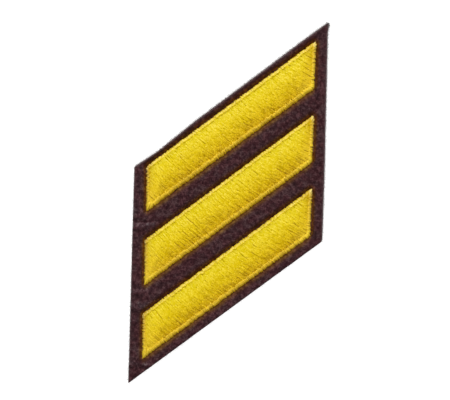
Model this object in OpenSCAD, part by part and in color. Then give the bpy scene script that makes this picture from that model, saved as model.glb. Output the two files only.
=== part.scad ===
// Service stripe: three slanted bars in gold satin stitch on one piece of dark wool felt.
// Sizes are in millimetres and slants in degrees. The patch lies on its back at z = 0, with +Y
// up the sleeve that it is sewn to and the origin at the middle of its back.

/* [Felt] */
// Width of the felt across the sleeve
felt_w = 51.7; // [49:0.1:60]
// Length of the felt up the sleeve, between its two sharp tips as they were cut
felt_len = 99.3; // [97:0.1:112]
// Slant of the lower cut edge
lower_cut = 37.7; // [36.5:0.1:39]
// Slant of the upper cut edge
upper_cut = 38.2; // [37:0.1:39]
// Thickness of the felt away from the stitching
felt_t = 1.5; // [1.2:0.1:3]
// How deep the stitching draws the felt in under a bar and close to it
draw_depth = 0.4; // [0.1:0.05:0.6]
// How far from a bar the felt is back at its full thickness
draw_reach = 1.7; // [1:0.1:2.5]
// How far the lower sharp tip of the felt is worn back
lower_wear = 0.1; // [0.1:0.1:0.7]
// How far the upper sharp tip of the felt is worn back
upper_wear = 0.3; // [0.1:0.1:0.7]

/* [Bars] */
// Length of a bar's upper edge
bar_upper_len = 57.4; // [56.8:0.1:58]
// Length of a bar's lower edge
bar_lower_len = 56.5; // [56:0.1:57.8]
// Slant of a bar's upper edge
bar_upper_slant = 38.05; // [37:0.05:39]
// Slant of a bar's lower edge
bar_lower_slant = 37.7; // [37:0.05:39]
// Depth of a bar, measured up the sleeve halfway along it
bar_depth = 12.7; // [10:0.1:13.5]
// Distance up the sleeve from one bar to the next
bar_pitch = 20; // [18.5:0.1:20.5]
// How far the middle bar sits above the middle of the felt
bar_lift = 0.67; // [0:0.01:1]
// How far the bars sit to the right of the felt's middle
bar_shift = 0.12; // [-0.5:0.02:0.5]

/* [Stitching] */
// Width of the narrow satin border round a bar
edging_w = 1.2; // [0.8:0.05:1.5]
// Height of the border above the drawn-in felt
edging_h = 1.05; // [0.8:0.05:1.4]
// Height of the filling where it meets the border
groove_h = 0.75; // [0.5:0.05:0.85]
// Rise of the filling's rounded shoulder above the groove
shoulder_h = 0.15; // [0.05:0.05:0.4]
// Further rise of the padded filling from its shoulder to its middle
dome_h = 0.52; // [0.2:0.02:0.8]
// Gap between neighbouring pieces
gap = 0.08; // [0.04:0.02:0.1]

/* [Hidden] */

FELT_COLOUR = [0.25, 0.16, 0.17];
FILL_COLOUR = [0.91, 0.79, 0.14];
EDGING_COLOUR = [0.87, 0.74, 0.22];

LOWER = -1;
MIDDLE = 0;
UPPER = 1;
BARS = [LOWER, MIDDLE, UPPER];

// Bars: a bar's corners about its own middle, anticlockwise from the lower left tip
upper_half = bar_upper_len / 2 * cos(bar_upper_slant);
lower_half = bar_lower_len / 2 * cos(bar_lower_slant);

function upper_edge_y(x) = bar_depth / 2 + x * tan(bar_upper_slant);
function lower_edge_y(x) = -bar_depth / 2 + x * tan(bar_lower_slant);

bar_corners = [
    [-lower_half, lower_edge_y(-lower_half)],
    [lower_half, lower_edge_y(lower_half)],
    [upper_half, upper_edge_y(upper_half)],
    [-upper_half, upper_edge_y(-upper_half)]
];
LOWER_LEFT_TIP = 0;

function bar_middle(bar) = [bar_shift, bar_lift + bar * bar_pitch];

// Rounding of each corner, in the same order: the tips are sharper than the blunt corners
corner_radii = [0.2, 0.8, 0.4, 1.0];
LEAST_RADIUS = 0.08;
CORNER_STEPS = 3;

function unit(v) = v / norm(v);
function outward(v) = atan2(-v.x, v.y);

// Points round one corner of a bar whose outline is drawn in by inset
function corner_arc(c, inset) = let (
    here = bar_corners[c],
    back = unit(bar_corners[(c + 3) % 4] - here),
    ahead = unit(bar_corners[(c + 1) % 4] - here),
    inner_angle = acos(back * ahead),
    radius = max(corner_radii[c] - inset, LEAST_RADIUS),
    centre = here + (back + ahead) * (inset + radius) / sin(inner_angle),
    start = outward(-back)
) [
    for (k = [0 : CORNER_STEPS])
        let (a = start + (180 - inner_angle) * k / CORNER_STEPS)
            centre + radius * [cos(a), sin(a)]
];

function outline(inset, z) = [
    for (c = [0 : 3], p = corner_arc(c, inset)) [p.x, p.y, z]
];

OUTLINE_POINTS = 4 * (CORNER_STEPS + 1);

// Walls between outlines that lie one after another in a list of points
function wall(a, b) = [
    for (k = [0 : OUTLINE_POINTS - 1])
        let (next = (k + 1) % OUTLINE_POINTS)
            each [
                [a + k, b + k, b + next],
                [a + k, b + next, a + next]
            ]
];

// Heights: the back of the stitching lies just above the drawn-in felt
seat_z = felt_t - draw_depth;
base_z = seat_z + gap;

// Border: a half-round cord, from its outer foot over the crown to its inner foot
CROWN_STEPS = 8;
crown_h = edging_w * 0.48;
spring_z = seat_z + edging_h - crown_h;

edging_section = concat(
    [[0, base_z]],
    [
        for (k = [0 : CROWN_STEPS])
            let (a = 180 * k / CROWN_STEPS)
                [edging_w * (1 - cos(a)) / 2, spring_z + crown_h * sin(a)]
    ],
    [[edging_w, base_z]]
);

module edging_ring() {
    count = len(edging_section);
    polyhedron(
        points = [for (s = edging_section) each outline(s.x, s.y)],
        faces = [
            for (i = [0 : count - 1])
                each wall(i * OUTLINE_POINTS, (i + 1) % count * OUTLINE_POINTS)
        ],
        convexity = 4
    );
}

// Filling: a padded field with a rounded shoulder and a low dome. Each share is a distance in
// from its edge, as a part of half its width.
fill_inset = edging_w + gap;
fill_half = bar_depth / 2 * cos(bar_upper_slant) - fill_inset;
fill_shares = [0, 0.03, 0.1, 0.2, 0.34, 0.5, 0.68, 0.88];
SHOULDER_SHARE = 0.34;

function shoulder(share) = sqrt(1 - pow(1 - min(share / SHOULDER_SHARE, 1), 2));
function dome(share) = 1 - pow(1 - share, 2);

fill_section = concat(
    [[fill_inset, base_z]],
    [
        for (s = fill_shares)
            [
                fill_inset + s * fill_half,
                seat_z + groove_h + shoulder_h * shoulder(s) + dome_h * dome(s)
            ]
    ]
);

module fill_pad() {
    last = len(fill_section) - 1;
    polyhedron(
        points = [for (s = fill_section) each outline(s.x, s.y)],
        faces = concat(
            [[for (k = [0 : OUTLINE_POINTS - 1]) k]],
            [for (i = [0 : last - 1]) each wall(i * OUTLINE_POINTS, (i + 1) * OUTLINE_POINTS)],
            [[for (k = [OUTLINE_POINTS - 1 : -1 : 0]) last * OUTLINE_POINTS + k]]
        ),
        convexity = 2
    );
}

// Felt: rows of points run with the cut edges and the bars' edges, and columns run up the sleeve
felt_half = felt_w / 2;

// The upper edge was cut by hand. Each row is a share of the way along it and how far it
// bulges there, up the sleeve.
upper_edge_bulges = [[0, 0.2], [0.12, -0.35], [0.33, 0.3], [0.67, 0.2], [0.85, 0.32], [1, 0.18]];

function felt_lower_y(x) = -felt_len / 2 + (x + felt_half) * tan(lower_cut);
function felt_upper_y(x) =
    felt_len / 2 + (x - felt_half) * tan(upper_cut)
    + lookup((x + felt_half) / felt_w, upper_edge_bulges);

// Guide lines from the lower cut edge to the upper one, and rows between each and the next
GUIDES = 2 * len(BARS) + 2;
guide_rows = [5, 4, 9, 4, 9, 4, 3];

function guide_y(g, x) =
    g == 0 ? felt_lower_y(x)
    : g == GUIDES - 1 ? felt_upper_y(x)
    : let (middle = bar_middle(BARS[floor((g - 1) / 2)]), from = x - middle.x)
        middle.y + (g % 2 == 1 ? lower_edge_y(from) : upper_edge_y(from));

row_places = concat(
    [for (g = [0 : GUIDES - 2], k = [0 : guide_rows[g] - 1]) [g, k / guide_rows[g]]],
    [[GUIDES - 2, 1]]
);

function row_y(place, x) =
    guide_y(place.x, x) * (1 - place.y) + guide_y(place.x + 1, x) * place.y;

// Columns: close together in the side margins and wide apart under the bars
MARGIN_COLUMNS = 4;
BAR_COLUMNS = 14;
left_end_x = bar_shift - upper_half - gap;
right_end_x = bar_shift + upper_half + gap;

columns = concat(
    [for (k = [0 : MARGIN_COLUMNS - 1]) -felt_half + (left_end_x + felt_half) * k / MARGIN_COLUMNS],
    [for (k = [0 : BAR_COLUMNS]) left_end_x + (right_end_x - left_end_x) * k / BAR_COLUMNS],
    [for (k = [1 : MARGIN_COLUMNS]) right_end_x + (felt_half - right_end_x) * k / MARGIN_COLUMNS]
);

// Distance out from a bar's outline to a point, below zero inside it
function outside(bar, p) = max([
    for (c = [0 : 3])
        let (
            here = bar_corners[c],
            along = unit(bar_corners[(c + 1) % 4] - here),
            q = p - bar_middle(bar) - here
        )
            q.x * along.y - q.y * along.x
]);

DRAW_FLAT = 0.3;

function eased(t) = let (u = min(max(t, 0), 1)) u * u * (3 - 2 * u);
function drawn_in(p) = max([
    for (bar = BARS)
        1 - eased((outside(bar, p) - DRAW_FLAT) / (draw_reach - DRAW_FLAT))
]);

// Puckers that cross the left margin under each bar's lower tip. The columns are the bar, the
// drop below its tip, the half width of the fold and its rise, below zero for a hollow.
puckers = [
    [UPPER, 1.2, 0.9, 0.12],
    [UPPER, 2.7, 0.8, -0.16],
    [UPPER, 4.1, 0.9, 0.18],
    [MIDDLE, 2.1, 0.9, 0.16],
    [MIDDLE, 4.2, 0.9, -0.16],
    [MIDDLE, 6.3, 1.1, 0.2],
    [LOWER, 1.9, 0.9, 0.12]
];
PUCKER_BAR = 0;
PUCKER_DROP = 1;
PUCKER_HALF = 2;
PUCKER_RISE = 3;
PUCKER_FADE = 4;

function total(numbers) = numbers * [for (n = numbers) 1];

function puckered(p) = total([
    for (fold = puckers)
        let (
            tip = bar_middle(fold[PUCKER_BAR]) + bar_corners[LOWER_LEFT_TIP],
            across = abs(p.y - tip.y + fold[PUCKER_DROP]) / fold[PUCKER_HALF],
            along = (tip.x + PUCKER_FADE - p.x) / PUCKER_FADE
        )
            fold[PUCKER_RISE] * (1 - eased(across)) * eased(along)
]);

function felt_z(p) = let (d = drawn_in(p)) felt_t - draw_depth * d + puckered(p) * (1 - d);

// The worn tips are the first point of the first row and the last point of the last row
wear_lower = lower_wear * unit([cos(lower_cut), 1 + sin(lower_cut)]);
wear_upper = -upper_wear * unit([cos(upper_cut), 1 + sin(upper_cut)]);

ROWS = len(row_places);
COLS = len(columns);

function worn(i, j) =
    i == 0 && j == 0 ? wear_lower
    : i == ROWS - 1 && j == COLS - 1 ? wear_upper
    : [0, 0];

function felt_point(i, j) =
    let (p = [columns[j], row_y(row_places[i], columns[j])] + worn(i, j)) [p.x, p.y, felt_z(p)];

function at(i, j) = i * COLS + j;

// The top's border, anticlockwise from the lower left tip
felt_border = concat(
    [for (j = [0 : COLS - 1]) at(0, j)],
    [for (i = [1 : ROWS - 1]) at(i, COLS - 1)],
    [for (j = [COLS - 2 : -1 : 0]) at(ROWS - 1, j)],
    [for (i = [ROWS - 2 : -1 : 1]) at(i, 0)]
);

module felt_sheet() {
    top = [for (i = [0 : ROWS - 1], j = [0 : COLS - 1]) felt_point(i, j)];
    first = ROWS * COLS;
    count = len(felt_border);
    polyhedron(
        points = concat(top, [for (k = felt_border) [top[k].x, top[k].y, 0]]),
        faces = concat(
            [
                for (i = [0 : ROWS - 2], j = [0 : COLS - 2])
                    each [
                        [at(i, j), at(i + 1, j), at(i + 1, j + 1)],
                        [at(i, j), at(i + 1, j + 1), at(i, j + 1)]
                    ]
            ],
            [
                for (k = [0 : count - 1])
                    let (next = (k + 1) % count)
                        each [
                            [felt_border[k], felt_border[next], first + next],
                            [felt_border[k], first + next, first + k]
                        ]
            ],
            [[for (k = [0 : count - 1]) first + k]]
        ),
        convexity = 4
    );
}

module felt_ground() {
    color(FELT_COLOUR) felt_sheet();
}

module fill(bar) {
    color(FILL_COLOUR) translate(bar_middle(bar)) fill_pad();
}

module edging(bar) {
    color(EDGING_COLOUR) translate(bar_middle(bar)) edging_ring();
}

felt_ground();
fill(UPPER);  // upper_fill
edging(UPPER);  // upper_edging
fill(MIDDLE);  // middle_fill
edging(MIDDLE);  // middle_edging
fill(LOWER);  // lower_fill
edging(LOWER);  // lower_edging
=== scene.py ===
# %% [markdown]
# # A service stripe: satin stitch on felt
# The real object is a flat badge for the sleeve of a uniform coat. Three slanted bars are
# embroidered in gold thread on one piece of dark wool felt, and each bar has a raised narrow
# border round a padded field of long stitches.
#
# This script dresses a finished solid model. The solids hold the true sizes and places, and
# everything made here lies exactly where they are. So the first step loads them.

# %% Load the solid model
import math

import bpy
import numpy as np
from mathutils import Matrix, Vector


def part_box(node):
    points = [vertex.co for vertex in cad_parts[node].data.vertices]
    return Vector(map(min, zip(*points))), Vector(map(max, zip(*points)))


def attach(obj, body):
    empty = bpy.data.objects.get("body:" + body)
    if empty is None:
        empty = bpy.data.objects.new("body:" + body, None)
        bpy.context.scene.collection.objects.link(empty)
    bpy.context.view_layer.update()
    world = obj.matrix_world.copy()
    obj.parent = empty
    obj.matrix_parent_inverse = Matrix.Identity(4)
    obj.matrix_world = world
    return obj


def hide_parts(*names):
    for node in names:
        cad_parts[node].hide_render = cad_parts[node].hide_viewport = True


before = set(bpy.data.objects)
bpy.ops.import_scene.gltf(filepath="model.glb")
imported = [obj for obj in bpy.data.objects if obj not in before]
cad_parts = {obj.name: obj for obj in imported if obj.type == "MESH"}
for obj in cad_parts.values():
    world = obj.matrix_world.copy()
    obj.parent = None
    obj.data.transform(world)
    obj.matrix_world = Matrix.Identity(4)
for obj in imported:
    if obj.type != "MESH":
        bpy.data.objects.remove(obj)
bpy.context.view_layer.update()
MM = 0.001
print("solids:", ", ".join(sorted(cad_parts)))

# %% [markdown]
# ## The camera
# The photograph looks straight down on the patch, which lies turned clockwise by a degree and
# a half. A long lens keeps the sides of the patch parallel, as they are in the photograph. The
# width that the picture covers at the felt gives the camera's height.

# %% Camera
PHOTO_WIDTH_PX = 450
MM_PER_PX = 0.2714
PATCH_TURN = math.radians(1.5)
AIM = Vector((-0.935, 0.78, 1.5)) * MM
LENS = 100
SENSOR = 36


def add_object(name, data):
    """An object in the scene that holds this camera, mesh or lamp."""
    made = bpy.data.objects.new(name, data)
    bpy.context.scene.collection.objects.link(made)
    return made


camera = add_object("camera", bpy.data.cameras.new("camera"))
camera.data.lens = LENS
camera.data.sensor_width = SENSOR
camera_height = PHOTO_WIDTH_PX * MM_PER_PX * MM * LENS / SENSOR
camera.location = AIM + Vector((0, 0, camera_height))
camera.rotation_euler = (0, 0, PATCH_TURN)
bpy.context.scene.camera = camera
print("camera height in mm:", round(camera_height / MM, 1))

# %% [markdown]
# ## Where the bars are
# Every piece follows the outlines of the bars. A bar is a slanted strip whose ends run up the
# sleeve, and its upper edge is a little longer and steeper than its lower one. The sizes below
# are the driving dimensions of the solid model, in millimetres, and the border's box in that
# model shows at once whether they still agree.

# %% Bar outlines
BAR_UPPER_LEN = 57.4
BAR_LOWER_LEN = 56.5
BAR_UPPER_SLANT = math.radians(38.05)
BAR_LOWER_SLANT = math.radians(37.7)
BAR_DEPTH = 12.7
BAR_PITCH = 20.0
BAR_LIFT = 0.67
BAR_SHIFT = 0.12
BAR_STEPS = {"upper": 1, "middle": 0, "lower": -1}


def edge_ends(length, slant, height):
    """Both ends of a bar's long edge, whose middle is at this height."""
    half = length / 2 * math.cos(slant)
    rise = half * math.tan(slant)
    return [BAR_SHIFT - half, height - rise], [BAR_SHIFT + half, height + rise]


def bar_corners(bar):
    """A bar's corners in mm, anticlockwise from the lower left tip."""
    middle = BAR_LIFT + BAR_STEPS[bar] * BAR_PITCH
    lower_left, lower_right = edge_ends(BAR_LOWER_LEN, BAR_LOWER_SLANT, middle - BAR_DEPTH / 2)
    upper_left, upper_right = edge_ends(BAR_UPPER_LEN, BAR_UPPER_SLANT, middle + BAR_DEPTH / 2)
    return np.array([lower_left, lower_right, upper_right, upper_left])


for bar in BAR_STEPS:
    solid = [round(corner.x / MM, 2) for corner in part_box(f"{bar}_edging")]
    corner_x = bar_corners(bar)[:, 0]
    here = [round(float(x), 2) for x in (corner_x.min(), corner_x.max())]
    print(f"{bar} bar: left and right in the solid {solid}, here {here}")

# %% [markdown]
# Two small tools are needed on every outline: the distance of a point inside it, and the same
# outline drawn in by a given distance. An outline has four corners, anticlockwise from the lower
# left one, and whatever has a number for each side gives them as lower, right, upper, left.


# %% Measuring from an outline
RIGHT, UPPER = 1, 2
LOWER_LEFT, UPPER_RIGHT = 0, 2


def unit(vector):
    return vector / np.linalg.norm(vector, axis=-1, keepdims=True)


def ways_from(corners):
    """From each corner, the direction back along one side and the one ahead along the next."""
    return [unit(np.roll(corners, step, axis=0) - corners) for step in (1, -1)]


def sides_of(corners):
    """Each side's direction, and the direction that points inside."""
    along = ways_from(corners)[1]
    return along, np.stack([-along[:, 1], along[:, 0]], axis=1)


def side_distances(points, corners):
    """Distance inside each of the four sides, for points given as an array of x and y."""
    inward = sides_of(corners)[1]
    offsets = points[..., None, :] - corners
    return (offsets * inward).sum(axis=-1)


def drawn_in(corners, insets):
    """The outline's corners after each side is moved in by its own inset."""
    back, ahead = ways_from(corners)
    sine = np.abs(back[:, 0] * ahead[:, 1] - back[:, 1] * ahead[:, 0])
    shift = back * insets[:, None] + ahead * np.roll(insets, 1)[:, None]
    return corners + shift / sine[:, None]


# %% [markdown]
# ## Heights
# The solids give the heights that matter: the drawn-in felt under the stitching, the crest of
# a border and the middle of a field. The border is a little wider at the lower side of a bar,
# and a little narrower at its left end.

# %% Heights in mm
GAP = 0.08
DRAW_DEPTH = 0.4
seat_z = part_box("upper_edging")[0].z / MM - GAP
felt_z = seat_z + DRAW_DEPTH
border_crest_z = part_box("upper_edging")[1].z / MM
field_crest_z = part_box("upper_fill")[1].z / MM
BORDER_WIDTH = 1.2
BORDER_WIDTHS = BORDER_WIDTH + np.array([0.23, 0.05, 0.0, -0.1])
GROOVE_HEIGHT = 0.84
print(f"seat {seat_z:.2f}, felt {felt_z:.2f}, border {border_crest_z:.2f}, field {field_crest_z:.2f}")

# %% [markdown]
# ## Roughness that is the same on each run
# Felt and hand-guided stitching are never quite even. The unevenness here is a grid of seeded
# random numbers, read between its points with a smooth curve, so that it is the same each time.

# %% Seeded unevenness
LATTICE = 256


def eased(share):
    """A share from 0 to 1 that starts and stops gently."""
    share = np.clip(share, 0, 1)
    return share * share * (3 - 2 * share)


def uneven(places, size, seed):
    """Smooth random heights from -1 to 1 at these places, with bumps about this size across."""
    lattice = np.random.default_rng(seed).uniform(-1, 1, (LATTICE, LATTICE))
    column, row = places[..., 0] / size, places[..., 1] / size
    left, below = np.floor(column).astype(int), np.floor(row).astype(int)
    across, up = eased(column - left), eased(row - below)

    def between_columns(step):
        line = (below + step) % LATTICE
        return lattice[line, left % LATTICE] * (1 - across) + lattice[line, (left + 1) % LATTICE] * across

    return between_columns(0) * (1 - up) + between_columns(1) * up


# %% [markdown]
# ## Meshes from rows of points
# The felt, the padding and the cords under the borders are all rows of points. One function
# joins the rows with faces, and can close the last row and column to the first. A sheet is
# closed into a solid by a second layer of points below it.
#
# Each mesh also gets a flat map, on which every face has a place of its own, so that its colours
# can later be written to an image. Rows of faces fill a box on the map, which is given by its
# left, low, right and top sides.

# %% Rows of points to a mesh
FLAT_MAP = "OFBake"
WHOLE_MAP = (0, 0, 1, 1)
SHEET_BOX_CUTS = [0.62, 0.64, 0.94, 0.96]


def raised(places, height):
    """Points from places in x and y and their heights."""
    return np.concatenate([places, height[..., None]], axis=-1)


def row_faces(rows, columns, closed=False, first=0):
    """Four-sided faces between rows of points, anticlockwise as seen from above."""
    i = np.arange(rows if closed else rows - 1)[:, None]
    j = np.arange(columns if closed else columns - 1)[None, :]
    below, above = i * columns, (i + 1) % rows * columns
    left, right = j, (j + 1) % columns
    corners = [below + left, below + right, above + right, above + left]
    return np.stack(corners, axis=-1).reshape(-1, 4) + first


def row_map(rows, columns, box):
    """Places on the map for the corners of this many rows and columns of faces."""
    left, low, right, top = box
    i, j = np.mgrid[:rows, :columns]
    u = left + (right - left) * np.stack([j, j + 1, j + 1, j], axis=-1) / columns
    v = low + (top - low) * np.stack([i, i, i + 1, i + 1], axis=-1) / rows
    return np.stack([u, v], axis=-1).reshape(-1, 4, 2)


def mesh_of(name, points, faces, places):
    """A smooth mesh from points in mm, with its flat map."""
    mesh = bpy.data.meshes.new(name)
    mesh.from_pydata((points * MM).tolist(), [], faces.tolist())
    mesh.polygons.foreach_set("use_smooth", np.ones(len(mesh.polygons), bool))
    mesh.uv_layers.new(name=FLAT_MAP).uv.foreach_set("vector", places.astype(np.float32).ravel())
    mesh.update()
    return mesh


def closed_sheet(name, top, floor_z, box):
    """A closed solid: the rows of points on top, walls at their border, and a flat back."""
    rows, columns = top.shape[:2]
    count = rows * columns
    back = top.copy()
    back[..., 2] = floor_z
    index = np.arange(count).reshape(rows, columns)
    border = np.concatenate([index[0, :-1], index[:-1, -1], index[-1, :0:-1], index[:0:-1, 0]])
    after = np.roll(border, -1)
    faces = [
        row_faces(rows, columns),
        row_faces(rows, columns, first=count)[:, ::-1],
        np.stack([border, border + count, after + count, after], axis=1),
    ]
    left, low, right, high = box
    cuts = [left + (right - left) * share for share in SHEET_BOX_CUTS]
    places = [
        row_map(rows - 1, columns - 1, (left, low, cuts[0], high)),
        row_map(rows - 1, columns - 1, (cuts[1], low, cuts[2], high))[:, ::-1],
        row_map(len(border), 1, (cuts[3], low, right, high)),
    ]
    points = np.concatenate([top.reshape(-1, 3), back.reshape(-1, 3)])
    return mesh_of(name, points, np.concatenate(faces), np.concatenate(places))


def write_numbers(mesh, numbers):
    """Stores each of these named numbers on every point of a mesh."""
    for name, values in numbers.items():
        stored = mesh.attributes.new(name, "FLOAT", "POINT")
        stored.data.foreach_set("value", values.astype(np.float32))


# %% [markdown]
# ## The felt
# The ground is one piece of wool felt about a millimetre and a half thick. Its sides and lower
# edge were cut straight, and its upper edge was cut by hand with two shallow kinks. The
# stitching draws the felt in, so each bar lies in a shallow valley, and the spare width shows
# as small puckers in the left margin. A fine sheet of points follows those rules, and a cloth
# simulation would add nothing, because the felt is held flat by its own stiffness.

# %% Felt outline
FELT_WIDTH = 51.7
FELT_LENGTH = 99.3
LOWER_CUT = math.radians(37.7)
UPPER_CUT = math.radians(38.2)
# Each row is a share of the edge's length and how far the edge bulges there
UPPER_BULGES = [(0, 0.2), (0.12, -0.35), (0.33, 0.3), (0.67, 0.2), (0.85, 0.32), (1, 0.18)]
RIGHT_BULGES = [(0, -0.1), (0.14, -0.02), (0.32, 0.09), (0.5, 0.03), (0.955, -0.03), (0.98, 0.25), (1, 0.1)]
LEFT_BULGES = [(0, 0.08), (0.1, 0.05), (0.5, 0.02), (1, -0.04)]
FELT_STEP = 0.33
RIM_STEPS = np.array([0, 0.04, 0.1, 0.18, 0.28, 0.4])
felt_half = FELT_WIDTH / 2


def bulge(table, share):
    return np.interp(share, *zip(*table))


def felt_lower_y(x):
    return -FELT_LENGTH / 2 + (x + felt_half) * math.tan(LOWER_CUT)


def felt_upper_y(x):
    straight = FELT_LENGTH / 2 + (x - felt_half) * math.tan(UPPER_CUT)
    return straight + bulge(UPPER_BULGES, (x + felt_half) / FELT_WIDTH)


def bulged(x, share):
    """A point's x after both sides are bent by their bulges. The share runs up the sheet."""
    right, left = bulge(RIGHT_BULGES, share), bulge(LEFT_BULGES, share)
    return x + right * eased(x / felt_half) - left * eased(-x / felt_half)


def places_across(length):
    """Distances from one edge to the other, close together at both rims."""
    inner = length - 2 * RIM_STEPS[-1]
    middle = np.linspace(0, inner, round(inner / FELT_STEP) + 1)[1:-1] + RIM_STEPS[-1]
    return np.concatenate([RIM_STEPS, middle, (length - RIM_STEPS)[::-1]])


felt_depth = float(felt_upper_y(0) - felt_lower_y(0))
felt_x = places_across(FELT_WIDTH) - felt_half
felt_share = places_across(felt_depth)[:, None] / felt_depth
felt_grid_x = np.broadcast_to(felt_x, (len(felt_share), len(felt_x)))
bulged_x = bulged(felt_grid_x, felt_share)
felt_grid_y = felt_lower_y(bulged_x) * (1 - felt_share) + felt_upper_y(bulged_x) * felt_share
flat_places = np.stack([bulged_x, felt_grid_y], axis=-1)
print("points on the felt's face:", felt_grid_x.size)

# %% [markdown]
# The rim is rounded over where the shears crushed the wool, and its line wanders a little. The
# corners are worn back, the upper tip most of all.

# %% Felt rim and tips
RIM_ROUND = 0.3
RIM_WANDER = 0.02
RIM_WANDER_SIZE = 2.2
RIM_WANDER_REACH = 2.0
RIM_SEEDS = (11, 12)
TIP_WEAR = [0.1, 0.15, 0.45, 0.1]
felt_corners = np.array(
    [[x, felt_lower_y(x)] for x in (-felt_half, felt_half)]
    + [[x, felt_upper_y(x)] for x in (felt_half, -felt_half)]
)
column_spare = np.minimum(felt_grid_x + felt_half, felt_half - felt_grid_x)
row_spare = np.minimum(felt_share, 1 - felt_share) * felt_depth * math.cos(LOWER_CUT)
rim_distance = np.minimum(column_spare, row_spare)


def wear_tip(places, corner):
    """Presses the last stretch of a sharp tip back towards the felt."""
    tip = felt_corners[corner]
    back, ahead = ways_from(felt_corners)
    inward = unit(back[corner] + ahead[corner])
    depth = ((places - tip) * inward).sum(axis=-1)
    pushed = np.clip(TIP_WEAR[corner] * 2 - depth, 0, None) * 0.5
    return places + pushed[..., None] * inward


felt_places = flat_places
for corner in range(4):
    felt_places = wear_tip(felt_places, corner)
near_rim = 1 - eased(rim_distance / RIM_WANDER_REACH)
for axis, seed in enumerate(RIM_SEEDS):
    felt_places[..., axis] += RIM_WANDER * uneven(flat_places, RIM_WANDER_SIZE, seed) * near_rim
print("felt in mm:", felt_places.min(axis=(0, 1)), felt_places.max(axis=(0, 1)))

# %% [markdown]
# Its height is the sum of a few plain things: the valleys round the bars, the puckers, a slow
# wave, the lumps of the wool and the rounded rim. The puckers are a short table, with a row for
# each fold under the lower left tip of a bar. A fold strays from its line here and there, and
# its strength comes and goes.

# %% Felt height
DRAW_FLAT = 0.3
DRAW_REACH = 1.7
PUCKERS = [
    # bar, drop below its tip, half width of the fold, rise
    ("upper", -1.0, 1.0, -0.14),
    ("upper", 1.2, 1.0, 0.14),
    ("upper", 2.7, 0.8, -0.12),
    ("upper", 4.1, 1.3, 0.24),
    ("middle", 0.4, 0.9, -0.14),
    ("middle", 2.1, 1.2, 0.2),
    ("middle", 4.2, 0.9, -0.14),
    ("middle", 6.3, 1.4, 0.26),
    ("middle", 8.1, 0.8, -0.12),
    ("middle", 10.2, 1.0, 0.12),
    ("lower", -1.9, 0.9, 0.12),
    ("lower", 0.0, 0.9, -0.14),
    ("lower", 1.9, 1.2, 0.24),
]
MEAN_STRENGTH = 0.75
STRENGTH_SPAN = 0.5
FINE_SHARE = 0.6
PUCKER_FADE = 4.5
PUCKER_STRAY = 0.45
WAVE_HEIGHT = 0.05
LUMP_HEIGHT = 0.035
# Each kind of unevenness has the size of its bumps in mm, and its seed
WAVES = (5.0, 21)
LUMPS = (1.1, 22)
FINE_LUMPS = (0.55, 23)
STRAYING = (2.4, 24)
STRENGTHS = (1.6, 25)

from_bars = [side_distances(felt_places, bar_corners(bar)).min(-1) for bar in BAR_STEPS]
valley = 1 - eased((-np.max(from_bars, axis=0) - DRAW_FLAT) / (DRAW_REACH - DRAW_FLAT))
pucker = np.zeros_like(valley)
stray = PUCKER_STRAY * uneven(felt_places, *STRAYING)
strength = MEAN_STRENGTH + STRENGTH_SPAN * uneven(felt_places, *STRENGTHS)
for bar, drop, half_width, rise in PUCKERS:
    tip = bar_corners(bar)[LOWER_LEFT]
    across = np.abs(felt_places[..., 1] + stray - tip[1] + drop) / half_width
    along = (tip[0] + PUCKER_FADE - felt_places[..., 0]) / PUCKER_FADE
    pucker += rise * (1 - eased(across)) * eased(along) * strength

wave = WAVE_HEIGHT * uneven(felt_places, *WAVES)
lumps = LUMP_HEIGHT * (uneven(felt_places, *LUMPS) + FINE_SHARE * uneven(felt_places, *FINE_LUMPS))
open_felt = 1 - valley
rim_fall = RIM_ROUND * (1 - np.sqrt(1 - (1 - np.clip(rim_distance / RIM_ROUND, 0, 1)) ** 2))
heights = felt_z - DRAW_DEPTH * valley + (pucker + wave + lumps) * open_felt - rim_fall
print(f"felt face from {heights.min():.2f} to {heights.max():.2f} mm high")

# %% [markdown]
# The sheet also carries four numbers for each point, which the finish and the fibres read: how
# frayed and how lit the cut edge is there, how near the gold thread is, how much warm light the
# thread throws on the felt, and which way the side of a fold faces. The pale rim is partly
# frayed wool and partly painted light: most on the upper edge, which faces the lamp, then on
# the right one, and least on the lower one. The upper tip has a frayed tuft.

# %% Felt mesh
FRAY_AND_RIM_LIGHT_DEPTH = 0.6
# Painted light on the rim as well as fraying: the weights for lower, right, upper and left make the edges
# that face the lamp paler.
FRAY_AND_RIM_LIGHT_WEIGHTS = np.array([0.05, 0.6, 0.85, 0.35])
TUFT_REACH = 1.8
TUFT_FRAY = 6.0
SHADE_FROM = np.array([-0.5, 0.25, 0.45, 0.25])
SHADE_TO = np.array([0.25, 1.2, 1.6, 1.05])
CORNER_RADII = np.array([0.2, 0.8, 0.4, 1.0])
GLOW_REACH = 1.9
GLOW_FALL = 2.9
GLOW_WEIGHTS = np.array([1.2, 0.37, 0, 0.44])
CORNER_LOSS = 1.8
from_sides = [
    (felt_grid_y - felt_lower_y(bulged_x)) * math.cos(LOWER_CUT),
    felt_half - felt_grid_x,
    (felt_upper_y(bulged_x) - felt_grid_y) * math.cos(UPPER_CUT),
    felt_half + felt_grid_x,
]
near_sides = 1 - eased(np.stack(from_sides, axis=-1) / FRAY_AND_RIM_LIGHT_DEPTH)
from_tip = np.linalg.norm(felt_places - felt_corners[UPPER_RIGHT], axis=-1)
tuft = TUFT_FRAY * (1 - eased(from_tip / TUFT_REACH)) * near_sides[..., RIGHT]
fray_and_rim_light_share = (near_sides * FRAY_AND_RIM_LIGHT_WEIGHTS).max(axis=-1) + tuft


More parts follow.
